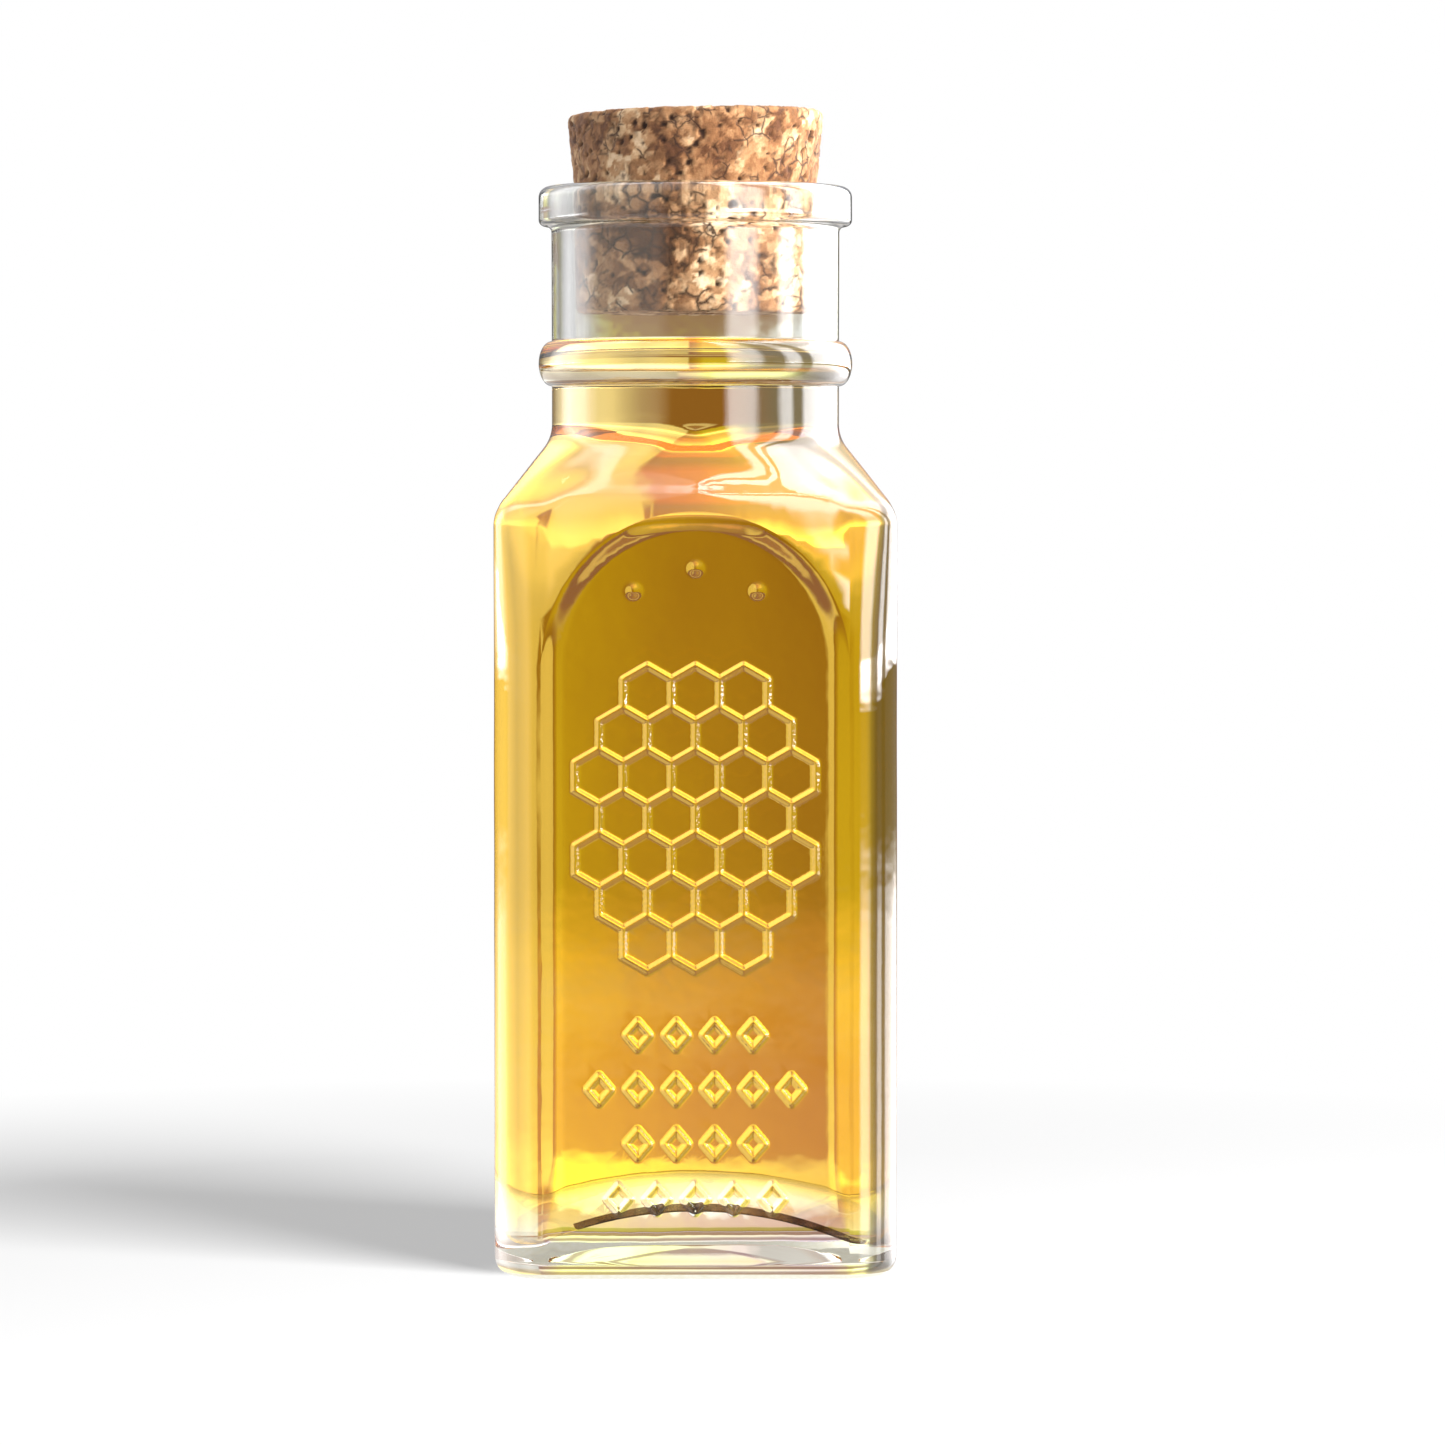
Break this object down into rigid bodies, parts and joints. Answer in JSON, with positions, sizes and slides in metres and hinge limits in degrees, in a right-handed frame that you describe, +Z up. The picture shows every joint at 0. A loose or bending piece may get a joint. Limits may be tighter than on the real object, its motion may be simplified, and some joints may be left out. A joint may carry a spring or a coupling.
{
  "type": "jar of honey",
  "caption": "Square clear glass honey bottle with an arched sunk front panel in relief, a round beaded neck and banded lip, filled with amber honey and closed by a tapered cork stopper.",
  "frame": {"origin": "middle of the base, on the surface that the jar stands on", "axes": "+Z up along the neck, -Y out of the front panel with the relief, +X to the right seen from the front"},
  "size_m": [0.037, 0.037, 0.1079],
  "materials": {
    "clear_glass": "clear moulded soda-lime glass, smooth and glossy",
    "honey": null,
    "cork": "agglomerated cork, pressed granules with small dark pits, matt"
  },
  "bodies": {
    "jar": {"glass_jar": "clear_glass", "honey": "honey"},
    "cork": {"cork_stopper": "cork"}
  },
  "joints": [
    {"name": "cork_lift", "type": "slide", "parent": "jar", "child": "cork", "axis": [0, 0, 1], "range_m": [0, 0.03]}
  ]
}
